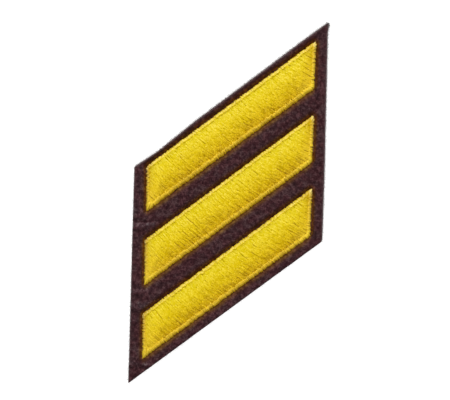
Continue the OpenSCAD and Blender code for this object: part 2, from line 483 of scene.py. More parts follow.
def distance_outside(points, corners):
    """Distance from a bar's outline with its rounded corners, or zero inside it."""
    distance = np.clip(-side_distances(points, corners), 0, None).max(-1)
    inward = sides_of(corners)[1]
    for place, radius in enumerate(CORNER_RADII):
        offset = points - drawn_in(corners, np.full(4, radius))[place]
        shares = offset @ np.linalg.inv(-inward[[place - 1, place]])
        past = np.clip(np.linalg.norm(offset, axis=-1) - radius, 0, None)
        distance = np.where((shares > 0).all(-1), past, distance)
    return distance


def thread_effects(bar):
    """How much a bar shades the felt beside it, and how much light it throws on the felt."""
    corners = bar_corners(bar)
    outside = np.clip(-side_distances(felt_places, corners), 0, None)
    parts = outside / np.maximum(outside.sum(-1, keepdims=True), 1e-6)
    first, last = parts @ SHADE_FROM, parts @ SHADE_TO
    away = distance_outside(felt_places, corners)
    shade = 1 - eased((away - first) / (last - first))
    past_corner = 1 - (parts**2).sum(-1)
    glow = (parts @ GLOW_WEIGHTS) * (1 - CORNER_LOSS * past_corner)
    return shade, glow * np.clip(1 - away / GLOW_REACH, 0, 1) ** GLOW_FALL


near_share, glow_share = np.max([thread_effects(bar) for bar in BAR_STEPS], axis=0)
facing_light = -np.gradient(pucker, axis=0) / np.gradient(felt_places[..., 1], axis=0)
face = {"fray": fray_and_rim_light_share, "near_thread": near_share, "glow": glow_share, "fold": facing_light * open_felt}
felt_mesh = closed_sheet("felt_sheet", raised(felt_places, heights), 0, WHOLE_MAP)
back = np.zeros(heights.size)
write_numbers(felt_mesh, {name: np.concatenate([values.ravel(), back]) for name, values in face.items()})
felt_sheet = add_object("felt_sheet", felt_mesh)
print("felt faces:", len(felt_mesh.polygons))

# %% [markdown]
# ## A short way to write nodes
# Geometry Nodes lay the stitches and the fibres, and shader nodes colour them. Both kinds of
# tree are written with the same two helpers. A Field is an output socket that can be added and
# multiplied like a number, and a Maker adds any other node: its settings first, because they
# decide which sockets the node has, and then the values or links of its sockets. The nodes that
# come back often have a short method each.


# %% Fields and makers
class Field:
    """An output socket that can stand in an expression of numbers."""

    def __init__(self, make, socket):
        self.make = make
        self.socket = socket

    def __add__(self, other):
        return self.make.maths("ADD", self, other)

    def __sub__(self, other):
        return self.make.maths("SUBTRACT", self, other)

    def __rsub__(self, other):
        return self.make.maths("SUBTRACT", other, self)

    def __mul__(self, other):
        return self.make.maths("MULTIPLY", self, other)

    def __truediv__(self, other):
        return self.make.maths("DIVIDE", self, other)

    __radd__ = __add__
    __rmul__ = __mul__

    def out(self, name):
        """Another output of the same node."""
        return Field(self.make, enabled(self.socket.node.outputs, name))


def enabled(sockets, key):
    """The socket of this name or place among those that the node's settings leave in use."""
    in_use = [s for s in sockets if s.enabled]
    return in_use[key] if isinstance(key, int) else next(s for s in in_use if s.name == key)


class Maker:
    """Adds nodes to one tree."""

    def __init__(self, tree):
        self.tree = tree

    def node(self, kind, settings=None, sockets=None):
        made = self.tree.nodes.new(kind)
        for name, value in (settings or {}).items():
            if name == "stops":
                self.set_stops(made.color_ramp, value)
            else:
                setattr(made, name, value)
        for key, value in (sockets or {}).items():
            for one in value if isinstance(value, list) else [value]:
                self.join(enabled(made.inputs, key), one)
        outputs = [s for s in made.outputs if s.enabled]
        return Field(self, outputs[0]) if outputs else None

    def join(self, socket, value):
        if isinstance(value, Field):
            self.tree.links.new(value.socket, socket)
        else:
            socket.default_value = value

    def set_stops(self, ramp, stops):
        while len(ramp.elements) < len(stops):
            ramp.elements.new(0.5)
        for element, (place, colour) in zip(ramp.elements, stops):
            element.position = place
            element.color = colour

    def maths(self, operation, *values):
        return self.node("ShaderNodeMath", {"operation": operation}, dict(enumerate(values)))

    def vector(self, operation, *values):
        return self.node("ShaderNodeVectorMath", {"operation": operation}, dict(enumerate(values)))

    def scaled(self, vector, amount):
        return self.node("ShaderNodeVectorMath", {"operation": "SCALE"}, {0: vector, "Scale": amount})

    def xyz(self, x, y, z):
        return self.node("ShaderNodeCombineXYZ", None, {"X": x, "Y": y, "Z": z})

    def parts(self, vector):
        """The three numbers of a vector."""
        split = self.node("ShaderNodeSeparateXYZ", None, {"Vector": vector})
        return [split.out(axis) for axis in "XYZ"]

    def between(self, value, low, high, to_low=0.0, to_high=1.0):
        """The value's place between low and high, eased at both ends."""
        sockets = {"Value": value, "From Min": low, "From Max": high, "To Min": to_low, "To Max": to_high}
        return self.node("ShaderNodeMapRange", {"interpolation_type": "SMOOTHSTEP"}, sockets)

    def from_middle(self, share):
        """How far a share is from its middle: 1 at both ends and 0 halfway."""
        return self.maths("ABSOLUTE", share * 2 - 1)

    def noise(self, place, cells, detail, dimensions="3D", **others):
        """Smooth noise round 0.5, with this many cells in a unit of the place."""
        sockets = {"Vector": place, "Scale": cells, "Detail": detail, **others}
        return self.node("ShaderNodeTexNoise", {"noise_dimensions": dimensions}, sockets)


# %% [markdown]
# A tree of Geometry Nodes is made once with named inputs, and run on a mesh as often as it is
# needed. Its inputs are the sizes in a table and others that are listed by their kind. Running
# it leaves a plain mesh behind, with the modifier gone. Every tree ends in the same way, and the
# threads come before what lies under them.

# %% Building and running a tree
def new_tree(name, sizes, others):
    """A tree of Geometry Nodes, its maker and its inputs as fields by name."""
    tree = bpy.data.node_groups.new(name, "GeometryNodeTree")
    tree.interface.new_socket("Geometry", in_out="OUTPUT", socket_type="NodeSocketGeometry")
    numbers = {title: "Int" if isinstance(size, int) else "Float" for title, size in sizes.items()}
    for title, kind in {"Geometry": "Geometry", **numbers, **others}.items():
        tree.interface.new_socket(title, in_out="INPUT", socket_type=f"NodeSocket{kind}")
    make = Maker(tree)
    source = tree.nodes.new("NodeGroupInput")
    return tree, make, {s.name: Field(make, s) for s in source.outputs if s.name}


def end_tree(make, *parts):
    """The last nodes of a tree: real geometry in place of instances, and each part's material."""
    finished = []
    for geometry, material in parts:
        real = make.node("GeometryNodeRealizeInstances", None, {"Geometry": geometry})
        sockets = {"Geometry": real, "Material": material}
        finished.append(make.node("GeometryNodeSetMaterial", None, sockets))
    whole = make.node("GeometryNodeJoinGeometry", None, {"Geometry": finished})
    make.node("NodeGroupOutput", None, {"Geometry": whole})


def run_tree(tree, name, mesh, values):
    """A new object that holds the plain mesh which the tree grows from this one."""
    made = add_object(name, mesh)
    modifier = made.modifiers.new(tree.name, "NODES")
    modifier.node_group = tree
    for item in tree.interface.items_tree:
        if item.in_out == "INPUT" and item.name in values:
            modifier[item.identifier] = values[item.name]
    depsgraph = bpy.context.evaluated_depsgraph_get()
    grown = bpy.data.meshes.new_from_object(
        made.evaluated_get(depsgraph), preserve_all_data_layers=True, depsgraph=depsgraph
    )
    made.modifiers.remove(modifier)
    made.data = grown
    grown.name = name
    return made


# %% [markdown]
# ## One strand of thread
# Every stitch is the same short strand, a thin closed tube that is flatter than it is wide. It
# is built once in each tree, along X, and carries its own place along and around the strand,
# so that the finish can draw fine filaments on it. Laying it means an instance on each point,
# turned to its heading, and each instance carries the numbers that the finish reads.

# %% A strand in a tree
END_TAPER = 0.6
TAPER_POWER = 8.0


def store(make, geometry, name, value, domain="POINT", kind="FLOAT"):
    sockets = {"Geometry": geometry, "Name": name, "Value": value}
    return make.node("GeometryNodeStoreNamedAttribute", {"data_type": kind, "domain": domain}, sockets)


def named(make, name, kind="FLOAT"):
    return make.node("GeometryNodeInputNamedAttribute", {"data_type": kind}, {"Name": name})


def chance(make, span, seed):
    """A random number from this span for each point or instance, the same on every run."""
    sockets = {"Min": span[0], "Max": span[1], "Seed": seed}
    return make.node("FunctionNodeRandomValue", {"data_type": "FLOAT"}, sockets)


def own_place(make):
    """The three numbers of a point's place."""
    return make.parts(make.node("GeometryNodeInputPosition"))


def moved_to(make, geometry, *place):
    sockets = {"Geometry": geometry, "Position": make.xyz(*place)}
    return make.node("GeometryNodeSetPosition", None, sockets)


def strand(make, length, width, height, points, sides):
    """A tube from the origin along X. Its cross-section is an oval that narrows at both ends."""
    line = make.node("GeometryNodeCurvePrimitiveLine", None, {"End": make.xyz(length, 0.0, 0.0)})
    line = make.node("GeometryNodeResampleCurve", None, {"Curve": line, "Count": points})
    line = store(make, line, "along", make.node("GeometryNodeSplineParameter"))
    ring = make.node("GeometryNodeCurvePrimitiveCircle", None, {"Resolution": sides, "Radius": 0.5})
    ring = store(make, ring, "around", make.node("GeometryNodeSplineParameter"))
    sockets = {"Curve": line, "Profile Curve": ring, "Fill Caps": True}
    tube = make.node("GeometryNodeCurveToMesh", None, sockets)
    taper = 1 - END_TAPER * make.maths("POWER", make.from_middle(named(make, "along")), TAPER_POWER)
    x, y, z = own_place(make)
    return moved_to(make, tube, x, y * width * taper, z * height * taper)


def lay_strands(make, points, one, heading, scale, numbers):
    """An instance of one strand on each point, and the numbers that it carries."""
    turned = make.node(
        "FunctionNodeAxesToRotation",
        {"primary_axis": "X", "secondary_axis": "Z"},
        {"Primary Axis": heading, "Secondary Axis": (0.0, 0.0, 1.0)},
    )
    sockets = {"Points": points, "Instance": one, "Rotation": turned, "Scale": make.xyz(*scale)}
    laid = make.node("GeometryNodeInstanceOnPoints", None, sockets)
    laid = store(make, laid, "strand", make.node("GeometryNodeInputIndex"), "INSTANCE", "INT")
    for name, value in numbers.items():
        laid = store(make, laid, name, value, "INSTANCE")
    return laid


def smooth(make, geometry):
    return make.node("GeometryNodeSetShadeSmooth", None, {"Geometry": geometry})


# %% [markdown]
# ## Padding under the fields
# A field of satin stitch is worked over padding, which gives the bar its rounded shoulders and
# low dome. The padding is a solid of its own here, a little lower than the finished field, and
# the thread is laid over it.

# %% Padding
UNDER_BOX = (0.86, 0, 1, 1)
FIELD_TUCK = 0.3
FIELD_INSETS = BORDER_WIDTHS - FIELD_TUCK
THREAD_HEIGHT = 0.2
SHOULDER_SHARE = 0.85
SHOULDER_POWER = 1.5
CORNER_SOFTNESS = 0.15
PAD_STEP = 0.45
groove_z = seat_z + GROOVE_HEIGHT - THREAD_HEIGHT


def soft_least(values, softness):
    """The least of the last axis, blended where several are nearly equal."""
    return -softness * np.log(np.exp(-values / softness).sum(axis=-1))


def pad_mesh(bar):
    corners = drawn_in(bar_corners(bar), FIELD_INSETS)
    length = np.linalg.norm(corners[1] - corners[0])
    depth = np.linalg.norm(corners[3] - corners[0])
    u = np.linspace(0, 1, round(length / PAD_STEP))[None, :, None]
    v = np.linspace(0, 1, round(depth / PAD_STEP))[:, None, None]
    lower = corners[0] * (1 - u) + corners[1] * u
    upper = corners[3] * (1 - u) + corners[2] * u
    places = lower * (1 - v) + upper * v
    half = side_distances(corners.mean(axis=0), corners).min()
    share = np.clip(soft_least(side_distances(places, corners), CORNER_SOFTNESS) / half, 0, 1)
    shoulder = 1 - (1 - np.minimum(share / SHOULDER_SHARE, 1)) ** SHOULDER_POWER
    height = groove_z + (field_crest_z - THREAD_HEIGHT - groove_z) * shoulder
    return closed_sheet("padding", raised(places, height), seat_z + GAP, UNDER_BOX)


# %% [markdown]
# ## Needle holes of a field
# A stitch as long as a bar is wide would snag, so each row of the field is broken into stitches
# of about one and a half to three millimetres. The rows cross the bar at about eighty degrees to
# its long edges at the left end, turn to about sixty-five at the right, and bow a little. Their
# breaks are staggered at random, and no stitch lies quite in line. The holes are worked out
# here, and they are the only thing that the tree is given: a point for each stitch, and on it
# the way to its far hole and how far down the bar the stitch lies.

# %% Needle holes
STITCH_SLANT = math.radians(-45)
SLANT_TURN = math.radians(17)
SLANT_JITTER = 0.01
ROW_PITCH = 0.38
ROW_JITTER = 0.12
ROW_BOW = 0.25
STITCH_LENGTH = 2.3
FIRST_LENGTHS = (0.2, 1.0)
NEXT_LENGTHS = (0.6, 1.4)
SHORTEST_END = STITCH_LENGTH / 4
STITCH_OVERLAP = 0.5
HOLE_SCATTER = 0.085


def field_rows(bar, chances):
    """Where every row of a field starts, how long it is, and its heading."""
    corners = drawn_in(bar_corners(bar), FIELD_INSETS)
    inward = sides_of(corners)[1]
    middle = corners.mean(axis=0)
    across = np.array([-math.sin(STITCH_SLANT), math.cos(STITCH_SLANT)])
    reach = (corners - middle) @ across
    places = np.arange(reach.min() + ROW_PITCH, reach.max() - ROW_PITCH / 2, ROW_PITCH)
    places = places + chances.uniform(-1, 1, len(places)) * ROW_JITTER * ROW_PITCH
    share = (places - reach.min()) / np.ptp(reach)
    turn = STITCH_SLANT + SLANT_TURN * share + chances.normal(0, SLANT_JITTER, len(places))
    headings = np.stack([np.cos(turn), np.sin(turn)], axis=1)
    origins = middle + places[:, None] * across
    rate = headings @ inward.T
    cuts = -((origins[:, None, :] - corners) * inward).sum(axis=-1) / rate
    first = np.where(rate > 0, cuts, -np.inf).max(axis=1)
    last = np.where(rate < 0, cuts, np.inf).min(axis=1)
    kept = last - first > ROW_PITCH
    return (origins + headings * first[:, None])[kept], (last - first)[kept], headings[kept]


def field_holes(bar, seed):
    """Both needle holes of every stitch in a field, and how far down the bar each one lies."""
    chances = np.random.default_rng(seed)
    near, far, down = [], [], []
    for start, length, heading in zip(*field_rows(bar, chances)):
        across = np.array([-heading[1], heading[0]])
        breaks = [0.0]
        step = chances.uniform(*FIRST_LENGTHS)
        while breaks[-1] + step * STITCH_LENGTH < length - SHORTEST_END:
            breaks.append(breaks[-1] + step * STITCH_LENGTH)
            step = chances.uniform(*NEXT_LENGTHS)
        breaks = np.array([*breaks, length])
        share = breaks / length
        bow = -ROW_BOW * 4 * share * (1 - share)
        for holes, ends, extra in ((near, slice(None, -1), -1), (far, slice(1, None), 1)):
            travel = breaks[ends] + extra * STITCH_OVERLAP / 2
            shift = bow[ends] + chances.normal(0, HOLE_SCATTER, len(travel))
            holes.append(start + travel[:, None] * heading + shift[:, None] * across)
        down.append((share[:-1] + share[1:]) / 2)
    return np.concatenate(near), np.concatenate(far), np.concatenate(down)


def guide_mesh(name, starts, ends, height=0.0, edges=()):
    """Points at the starts, joined by these edges. Each carries the way to its end."""
    mesh = bpy.data.meshes.new(name)
    level = np.full(len(starts), height)
    mesh.from_pydata((raised(starts, level) * MM).tolist(), edges, [])
    reach = (raised(ends - starts, 0 * level) * MM).astype(np.float32)
    mesh.attributes.new("reach", "FLOAT_VECTOR", "POINT").data.foreach_set("vector", reach.ravel())
    return mesh


def hole_mesh(bar, seed):
    near, far, down = field_holes(bar, seed)
    mesh = guide_mesh("holes", near, far)
    write_numbers(mesh, {"down": down})
    lengths = np.linalg.norm(far - near, axis=1)
    print(f"{bar} field: {len(near)} stitches, {lengths.mean():.2f} mm long on average")
    return mesh


# %% [markdown]
# ## Laying a field
# The tree puts one strand on each needle hole, turns it towards the far hole and stretches it
# to the length of the stitch. Then every point of the strand drops onto the padding below it.
# Both ends dip where the needle pulled them down, some stitches lie a little higher than their
# neighbours, and a slow random wander keeps them from being quite straight. The thread is pulled
# a little thinner towards the lower edge of the bar.

# %% Tree for a field
FIELD_SIZES = {
    "Thread Width": 0.61 * MM,
    "Thread Height": THREAD_HEIGHT * MM,
    "Thinning": 0.29,
    "Dip": 0.13 * MM,
    "Lift": 0.03 * MM,
    "Ride": 0.02 * MM,
    "Sway": 0.03 * MM,
    "Bends per Metre": 0.7 / MM,
    "Strand Points": 8,
    "Strand Sides": 6,
}
GIVEN_PER_BAR = {"Under": "Object", "Thread": "Material", "Under Thread": "Material", "Seed": "Int"}
ANY_TONE = (0.0, 1.0)
FIELD_GIRTHS = (0.88, 1.12)
UPPER_GIRTH = 1.1
RAY_HEIGHT = 0.01
RAY_LENGTH = 0.02
DIP_POWER = 6.0
BED_SHARE = 0.45
WANDER_SPREAD = 3.2
STRAND_STEP = 7.31
SWAY_SEED = 50
UP = (0.0, 0.0, 1.0)


def wander(make, bends, offset):
    """A smooth random number along each strand, about -1 to 1, that differs between strands."""
    travelled = named(make, "along") * named(make, "length") * bends
    number = named(make, "strand", "INT") * STRAND_STEP + offset
    return (make.noise(make.xyz(travelled, 0.0, 0.0), 1.0, 1.0, "4D", W=number) - 0.5) * WANDER_SPREAD


def height_of(make, surface, otherwise):
    """The height of a surface straight below each point, or another height beside it."""
    above = make.vector("ADD", make.node("GeometryNodeInputPosition"), (0.0, 0.0, RAY_HEIGHT))
    down = {"Source Position": above, "Ray Direction": (0.0, 0.0, -1.0), "Ray Length": RAY_LENGTH}
    ray = make.node("GeometryNodeRaycast", {"data_type": "FLOAT"}, {"Target Geometry": surface, **down})
    hit = ray.out("Is Hit")
    return make.parts(ray.out("Hit Position"))[2] * hit + (1 - hit) * otherwise


def build_field_tree():
    tree, make, given = new_tree("field_stitches", FIELD_SIZES, GIVEN_PER_BAR)
    padding = make.node("GeometryNodeObjectInfo", None, {"Object": given["Under"]}).out("Geometry")
    seed, thick = given["Seed"], given["Thread Height"]
    one = strand(make, 1.0, given["Thread Width"], thick, given["Strand Points"], given["Strand Sides"])
    reach = named(make, "reach", "FLOAT_VECTOR")
    length = make.vector("LENGTH", reach).out("Value")
    down = named(make, "down")
    girth = chance(make, FIELD_GIRTHS, seed) * (UPPER_GIRTH - down * given["Thinning"])
    tone = chance(make, ANY_TONE, seed + 1)
    numbers = {"tone": tone, "length": length, "lift": (1 - tone * 2) * (0.5 + down)}
    laid = lay_strands(make, given["Geometry"], one, reach, (length, girth, girth), numbers)
    laid = make.node("GeometryNodeRealizeInstances", None, {"Geometry": laid})
    ride = wander(make, given["Bends per Metre"], seed) * given["Ride"]
    sway = wander(make, given["Bends per Metre"], seed + SWAY_SEED) * given["Sway"]
    sideways = make.vector("NORMALIZE", make.vector("CROSS_PRODUCT", UP, reach))
    dip = make.maths("POWER", make.from_middle(named(make, "along")), DIP_POWER) * given["Dip"]
    bed = height_of(make, padding, groove_z * MM)
    height = bed + ride - dip + named(make, "lift") * given["Lift"] + thick * BED_SHARE
    offset = make.vector("ADD", make.scaled(sideways, sway), make.xyz(0.0, 0.0, height))
    laid = make.node("GeometryNodeSetPosition", None, {"Geometry": laid, "Offset": offset})
    end_tree(make, (smooth(make, laid), given["Thread"]), (padding, given["Under Thread"]))
    return tree


field_tree = build_field_tree()
print("nodes in the field tree:", len(field_tree.nodes))

# %% [markdown]
# ## Rails of a border
# The border is satin stitch worked over a cord, and each stitch crosses it from an outer hole
# to an inner hole. The outer holes lie on the bar's outline. The inner ones lie straight across
# from them on a line drawn in by the border's width, except near a corner, where they crowd
# together and the stitches fan round. The outline's corners are slightly rounded.

# %% Border rails
CROWDING = 0.25
RAIL_STEP = 0.5


def border_rails(bar):
    """Matched outer and inner points round a bar, anticlockwise, in mm."""
    corners = bar_corners(bar)
    along, inward = sides_of(corners)
    back, ahead = ways_from(corners)
    angles = np.arccos((back * ahead).sum(axis=1))
    outer, inner = [], []
    for side in range(4):
        ends = [side, (side + 1) % 4]
        length = np.linalg.norm(corners[ends[1]] - corners[side])
        radius = CORNER_RADII[ends]
        tangent = radius / np.tan(angles[ends] / 2)
        skipped = tangent - radius * np.cos(angles[ends] / 2)
        width, neighbours = BORDER_WIDTHS[side], BORDER_WIDTHS[[side - 1, ends[1]]]
        mitre = (neighbours + width * np.cos(angles[ends])) / np.sin(angles[ends])
        steps = round((length - skipped.sum()) / RAIL_STEP)
        s = np.linspace(skipped[0], length - skipped[1], steps, endpoint=False)
        depth = np.zeros_like(s)
        for end, from_end in enumerate((s, length - s)):
            into = np.clip(tangent[end] - from_end, 0, radius[end])
            depth += radius[end] - np.sqrt(radius[end] ** 2 - into**2)
        s_inner = np.maximum(s, mitre[0] + CROWDING * (s - skipped[0]))
        s_inner = np.minimum(s_inner, length - mitre[1] - CROWDING * (length - skipped[1] - s))
        for rail, place, inset in ((outer, s, depth[:, None]), (inner, s_inner, width)):
            rail.append(corners[side] + place[:, None] * along[side] + inset * inward[side])
    return np.concatenate(outer), np.concatenate(inner)


def rail_mesh(bar):
    """A closed line through the outer holes. Each point carries the way to its inner hole."""
    outer, inner = border_rails(bar)
    count = len(outer)
    edges = [(i, (i + 1) % count) for i in range(count)]
    return guide_mesh("rail", outer, inner, seat_z, edges)


# %% [markdown]
# The cord under the stitches is a half-round swept along the same rails, a thread's thickness
# smaller than the finished border.

# %% Cord under a border
CORD_SECTION_POINTS = 9
CORD_MARGIN = 0.12
CORD_DEPTH = 0.4
CORD_ROUNDNESS = 0.7


def cord_mesh(bar):
    outer, inner = border_rails(bar)
    angle = np.linspace(math.pi, 0, CORD_SECTION_POINTS)
    share = CORD_MARGIN + (1 - 2 * CORD_MARGIN) * (1 + np.cos(angle)) / 2
    rise = border_crest_z - CORD_DEPTH - seat_z - GAP
    places = outer[:, None, :] + (inner - outer)[:, None, :] * share[None, :, None]
    height = np.broadcast_to(seat_z + GAP + rise * np.sin(angle) ** CORD_ROUNDNESS, places.shape[:2])
    rows, columns = height.shape
    faces = row_faces(rows, columns, closed=True)[:, ::-1]
    flat = row_map(rows, columns, UNDER_BOX)[:, ::-1]
    return mesh_of("cord", raised(places, height).reshape(-1, 3), faces, flat)


# %% [markdown]
# ## Laying a border
# This tree walks along the rail at the stitch pitch, puts an arched strand at each stop and
# turns it across the cord. The outer foot of the arch goes down into the felt. The inner foot
# stops higher, where it meets the field, so that the groove between them stays shallow. No two
# stitches are quite as long, as thick or as high, and some feet stand a little further out.

# %% Tree for a border
BORDER_SIZES = {
    "Border Width": BORDER_WIDTH * MM,
    "Crest": (border_crest_z - seat_z - THREAD_HEIGHT / 2) * MM,
    "Pitch": 0.36 * MM,
    "Foot Scatter": 0.2,
    "Thread Width": 0.43 * MM,
    "Thread Height": THREAD_HEIGHT * MM,
    "Strand Points": 11,
    "Strand Sides": 6,
}
OUTER_ANGLE = math.radians(-15)
INNER_ANGLE = math.radians(130)
ARCH_ROUNDNESS = 0.5
STRETCHES = (0.93, 1.16)
STITCH_HEIGHTS = (0.78, 1.08)
BORDER_GIRTHS = (0.85, 1.2)
FOOT_SHIFTS = (-0.7, 0.3)
ARCH_SHARE = 1.6


def arched(make, tube, width, crest, inset):
    """Bends a straight strand over a half-round of this width and height, an inset further in."""
    angle = named(make, "along") * (INNER_ANGLE - OUTER_ANGLE) + OUTER_ANGLE
    cosine, sine = make.maths("COSINE", angle), make.maths("SINE", angle)
    rise = sine * make.maths("POWER", make.maths("ABSOLUTE", sine), ARCH_ROUNDNESS)
    _, side, lift = own_place(make)
    bent_x = (1 - cosine) * width * 0.5 - cosine * lift + inset
    return moved_to(make, tube, bent_x, side, rise * crest + sine * lift)


def build_border_tree():
    tree, make, given = new_tree("border_stitches", BORDER_SIZES, GIVEN_PER_BAR)
    seed, wide, thick = given["Seed"], given["Border Width"], given["Thread Height"]
    cord = make.node("GeometryNodeObjectInfo", None, {"Object": given["Under"]}).out("Geometry")
    rail = make.node("GeometryNodeMeshToCurve", None, {"Mesh": given["Geometry"]})
    sockets = {"Curve": rail, "Length": given["Pitch"]}
    stops = make.node("GeometryNodeCurveToPoints", {"mode": "LENGTH"}, sockets)
    one = strand(make, wide, given["Thread Width"], thick, given["Strand Points"], given["Strand Sides"])
    arch_width = (wide - thick * 0.5) * (2 / (1 - math.cos(INNER_ANGLE)))
    one = arched(make, one, arch_width, given["Crest"], thick * 0.5)
    reach = named(make, "reach", "FLOAT_VECTOR")
    length = make.vector("LENGTH", reach).out("Value")
    stretch = length / wide * chance(make, STRETCHES, seed)
    scale = (stretch, chance(make, BORDER_GIRTHS, seed + 2), chance(make, STITCH_HEIGHTS, seed + 1))
    shift = make.scaled(reach, chance(make, FOOT_SHIFTS, seed + 4) * given["Foot Scatter"])
    stops = make.node("GeometryNodeSetPosition", None, {"Geometry": stops, "Offset": shift})
    numbers = {"tone": chance(make, ANY_TONE, seed + 3), "length": length * ARCH_SHARE}
    laid = lay_strands(make, stops, one, reach, scale, numbers)
    end_tree(make, (smooth(make, laid), given["Thread"]), (cord, given["Under Thread"]))
    return tree


border_tree = build_border_tree()
print("nodes in the border tree:", len(border_tree.nodes))

# %% [markdown]
# ## Thread finish
# The gold thread is a smooth filament yarn with a thin, even gloss. Seen close, each strand
# differs a little in tone and stretches of it have gone dull. The rest is painted light and
# shade from the lamp above the patch: the gold runs from lemon at the top of a bar to a deeper
# gold low on it, where it is also darker and patchy. It is painted darker where it goes down a
# needle hole, in the groove along the inside of the upper border, near the ends and at the feet
# of a border. Painted highlights make the outer slope of the upper border, the crown of the lower
# border and the two upper tips paler, and painted sheen brightens the lower ends of a bar. All of
# it comes from numbers that the strands carry and from noise in the object's own space, so
# nothing slides when the camera moves.
#
# The finish is a base colour with layers over it. A tint multiplies what lies below it, and a
# cover hides it, each by a share that changes from place to place.

# %% Noises and layers of a finish
TINT, COVER = "MULTIPLY", "MIX"
STRAND_NOISES = {
    # cells in a mm along the strand, cells in one turn round it, and finer detail
    "streaks": (1.5, 5.0, 2.0),
    "grain": (3.2, 4.0, 1.0),
    "filaments": (1.0, 22.0, 1.0),
}
PLACE_NOISES = {
    # cells in a metre, finer detail, and where the noise counts as 0 and as 1
    "patches": (600.0, 1.0, 0.5, 0.6),
    "dots": (1500.0, 0.0, 0.4, 0.6),
    "specks": (3800.0, 0.0, 0.3, 0.7),
}


def new_material(name):
    material = bpy.data.materials.new(name)
    material.use_nodes = True
    material.node_tree.nodes.clear()
    return material, Maker(material.node_tree)


def finish_material(make, surface):
    """The last two nodes of a finish: the surface with these values, and the output."""
    shader = make.node("ShaderNodeBsdfPrincipled", None, surface)
    make.node("ShaderNodeOutputMaterial", None, {"Surface": shader})


def attribute(make, name):
    return make.node("ShaderNodeAttribute", {"attribute_name": name}).out("Fac")


def object_place(make):
    return make.node("ShaderNodeTexCoord").out("Object")


def strand_noise(make, name):
    """Noise that is wound round a strand."""
    along, around, detail = STRAND_NOISES[name]
    winding = make.node("ShaderNodeUVMap", {"uv_map": "winding"})
    return make.noise(make.vector("MULTIPLY", winding, (along, around, 1.0)), 1.0, detail, "2D")


def place_noise(make, name):
    """Noise in the object's own space, which runs on over neighbouring strands."""
    cells, detail, low, high = PLACE_NOISES[name]
    return make.between(make.noise(object_place(make), cells, detail), low, high)


def ramp(make, stops, share):
    return make.node("ShaderNodeValToRGB", {"stops": stops}, {"Fac": share})


def layered(make, colour, layers):
    """The colour under these layers. Each is a way to mix, a share and a colour."""
    for way, share, other in layers:
        settings = {"data_type": "RGBA", "blend_type": way}
        colour = make.node("ShaderNodeMix", settings, {"Factor": share, "A": colour, "B": other})
    return colour


def bump(make, height, strength, distance):
    sockets = {"Strength": strength, "Distance": distance * MM, "Height": height}
    return make.node("ShaderNodeBump", None, sockets)


# %% [markdown]
# The stretches of a border stitch are given along it, from its outer foot at 0 to its inner foot
# at 1. What makes a strand dull is a sum of its own tone, the streaks, the grain and the specks,
# less the level that the sum has to pass. The plain numbers in the list of layers are weights,
# which were set by comparing renders with the photograph.

# %% Thread material
# The gold ramps run by how far up the bar a point lies. Lemon at the top and deeper gold low down is
# painted light and shade from the lamp above the patch.
FIELD_GOLDS = [
    (0.2, (0.80, 0.505, 0.001, 1)),
    (0.5, (0.865, 0.635, 0.002, 1)),
    (1.0, (0.795, 0.66, 0.003, 1)),
]
BORDER_GOLDS = [
    (0.0, (0.89, 0.575, 0.018, 1)),
    (0.5, (0.89, 0.64, 0.018, 1)),
    (1.0, (0.90, 0.71, 0.006, 1)),
]
DULL_AND_SHADE_TINT = (0.58, 0.51, 0.03, 1)
GROOVE_TINT = (0.82, 0.80, 0.3, 1)
HOLE_SHADE_TINT = (0.9, 0.84, 0.3, 1)
SPECK_TINT = (0.66, 0.63, 0.42, 1)
OUTER_HIGHLIGHT_GOLD = (0.94, 0.75, 0.16, 1)
CROWN_HIGHLIGHT_GOLD = (1.0, 0.80, 0.13, 1)
END_SHADE_TINT = (0.91, 0.80, 0.70, 1)
LEFT_END_SHADE_TINT = (0.80, 0.75, 0.9, 1)
TIP_HIGHLIGHT_GOLD = (0.96, 0.86, 0.36, 1)
LOW_END_SHEEN_GOLD = (1.0, 0.75, 0.04, 1)
FOOT_SHADE_TINT = (0.88, 0.67, 0.1, 1)
INNER_FOOT_SHADE_TINT = (0.95, 0.93, 0.3, 1)
OUTER_SLOPE = (0.3, 0.45, 0.5, 0.75)
CROWN = (0.4, 0.55, 0.75, 0.95)
OUTER_FOOT = (0.2, 0.38)
INNER_FOOT = (0.7, 0.85)
NEAR_HOLES = (0.8, 1.0)
AT_TIP = (0.8, 1.0)
GRAIN_WEIGHT = 0.8
LOW_PATCH_SHADE = 0.6
LOW_PAINTED_SHADE = 0.85
LEAST_DULLNESS = 0.31
COAT_ROUGHNESS = 0.45


def stretch_along(make, along, fades):
    """1 between the two middle places along a stitch, and 0 before the first and after the last."""
    start, full, leaving, end = fades
    return make.between(along, start, full) * make.between(along, leaving, end, 1.0, 0.0)


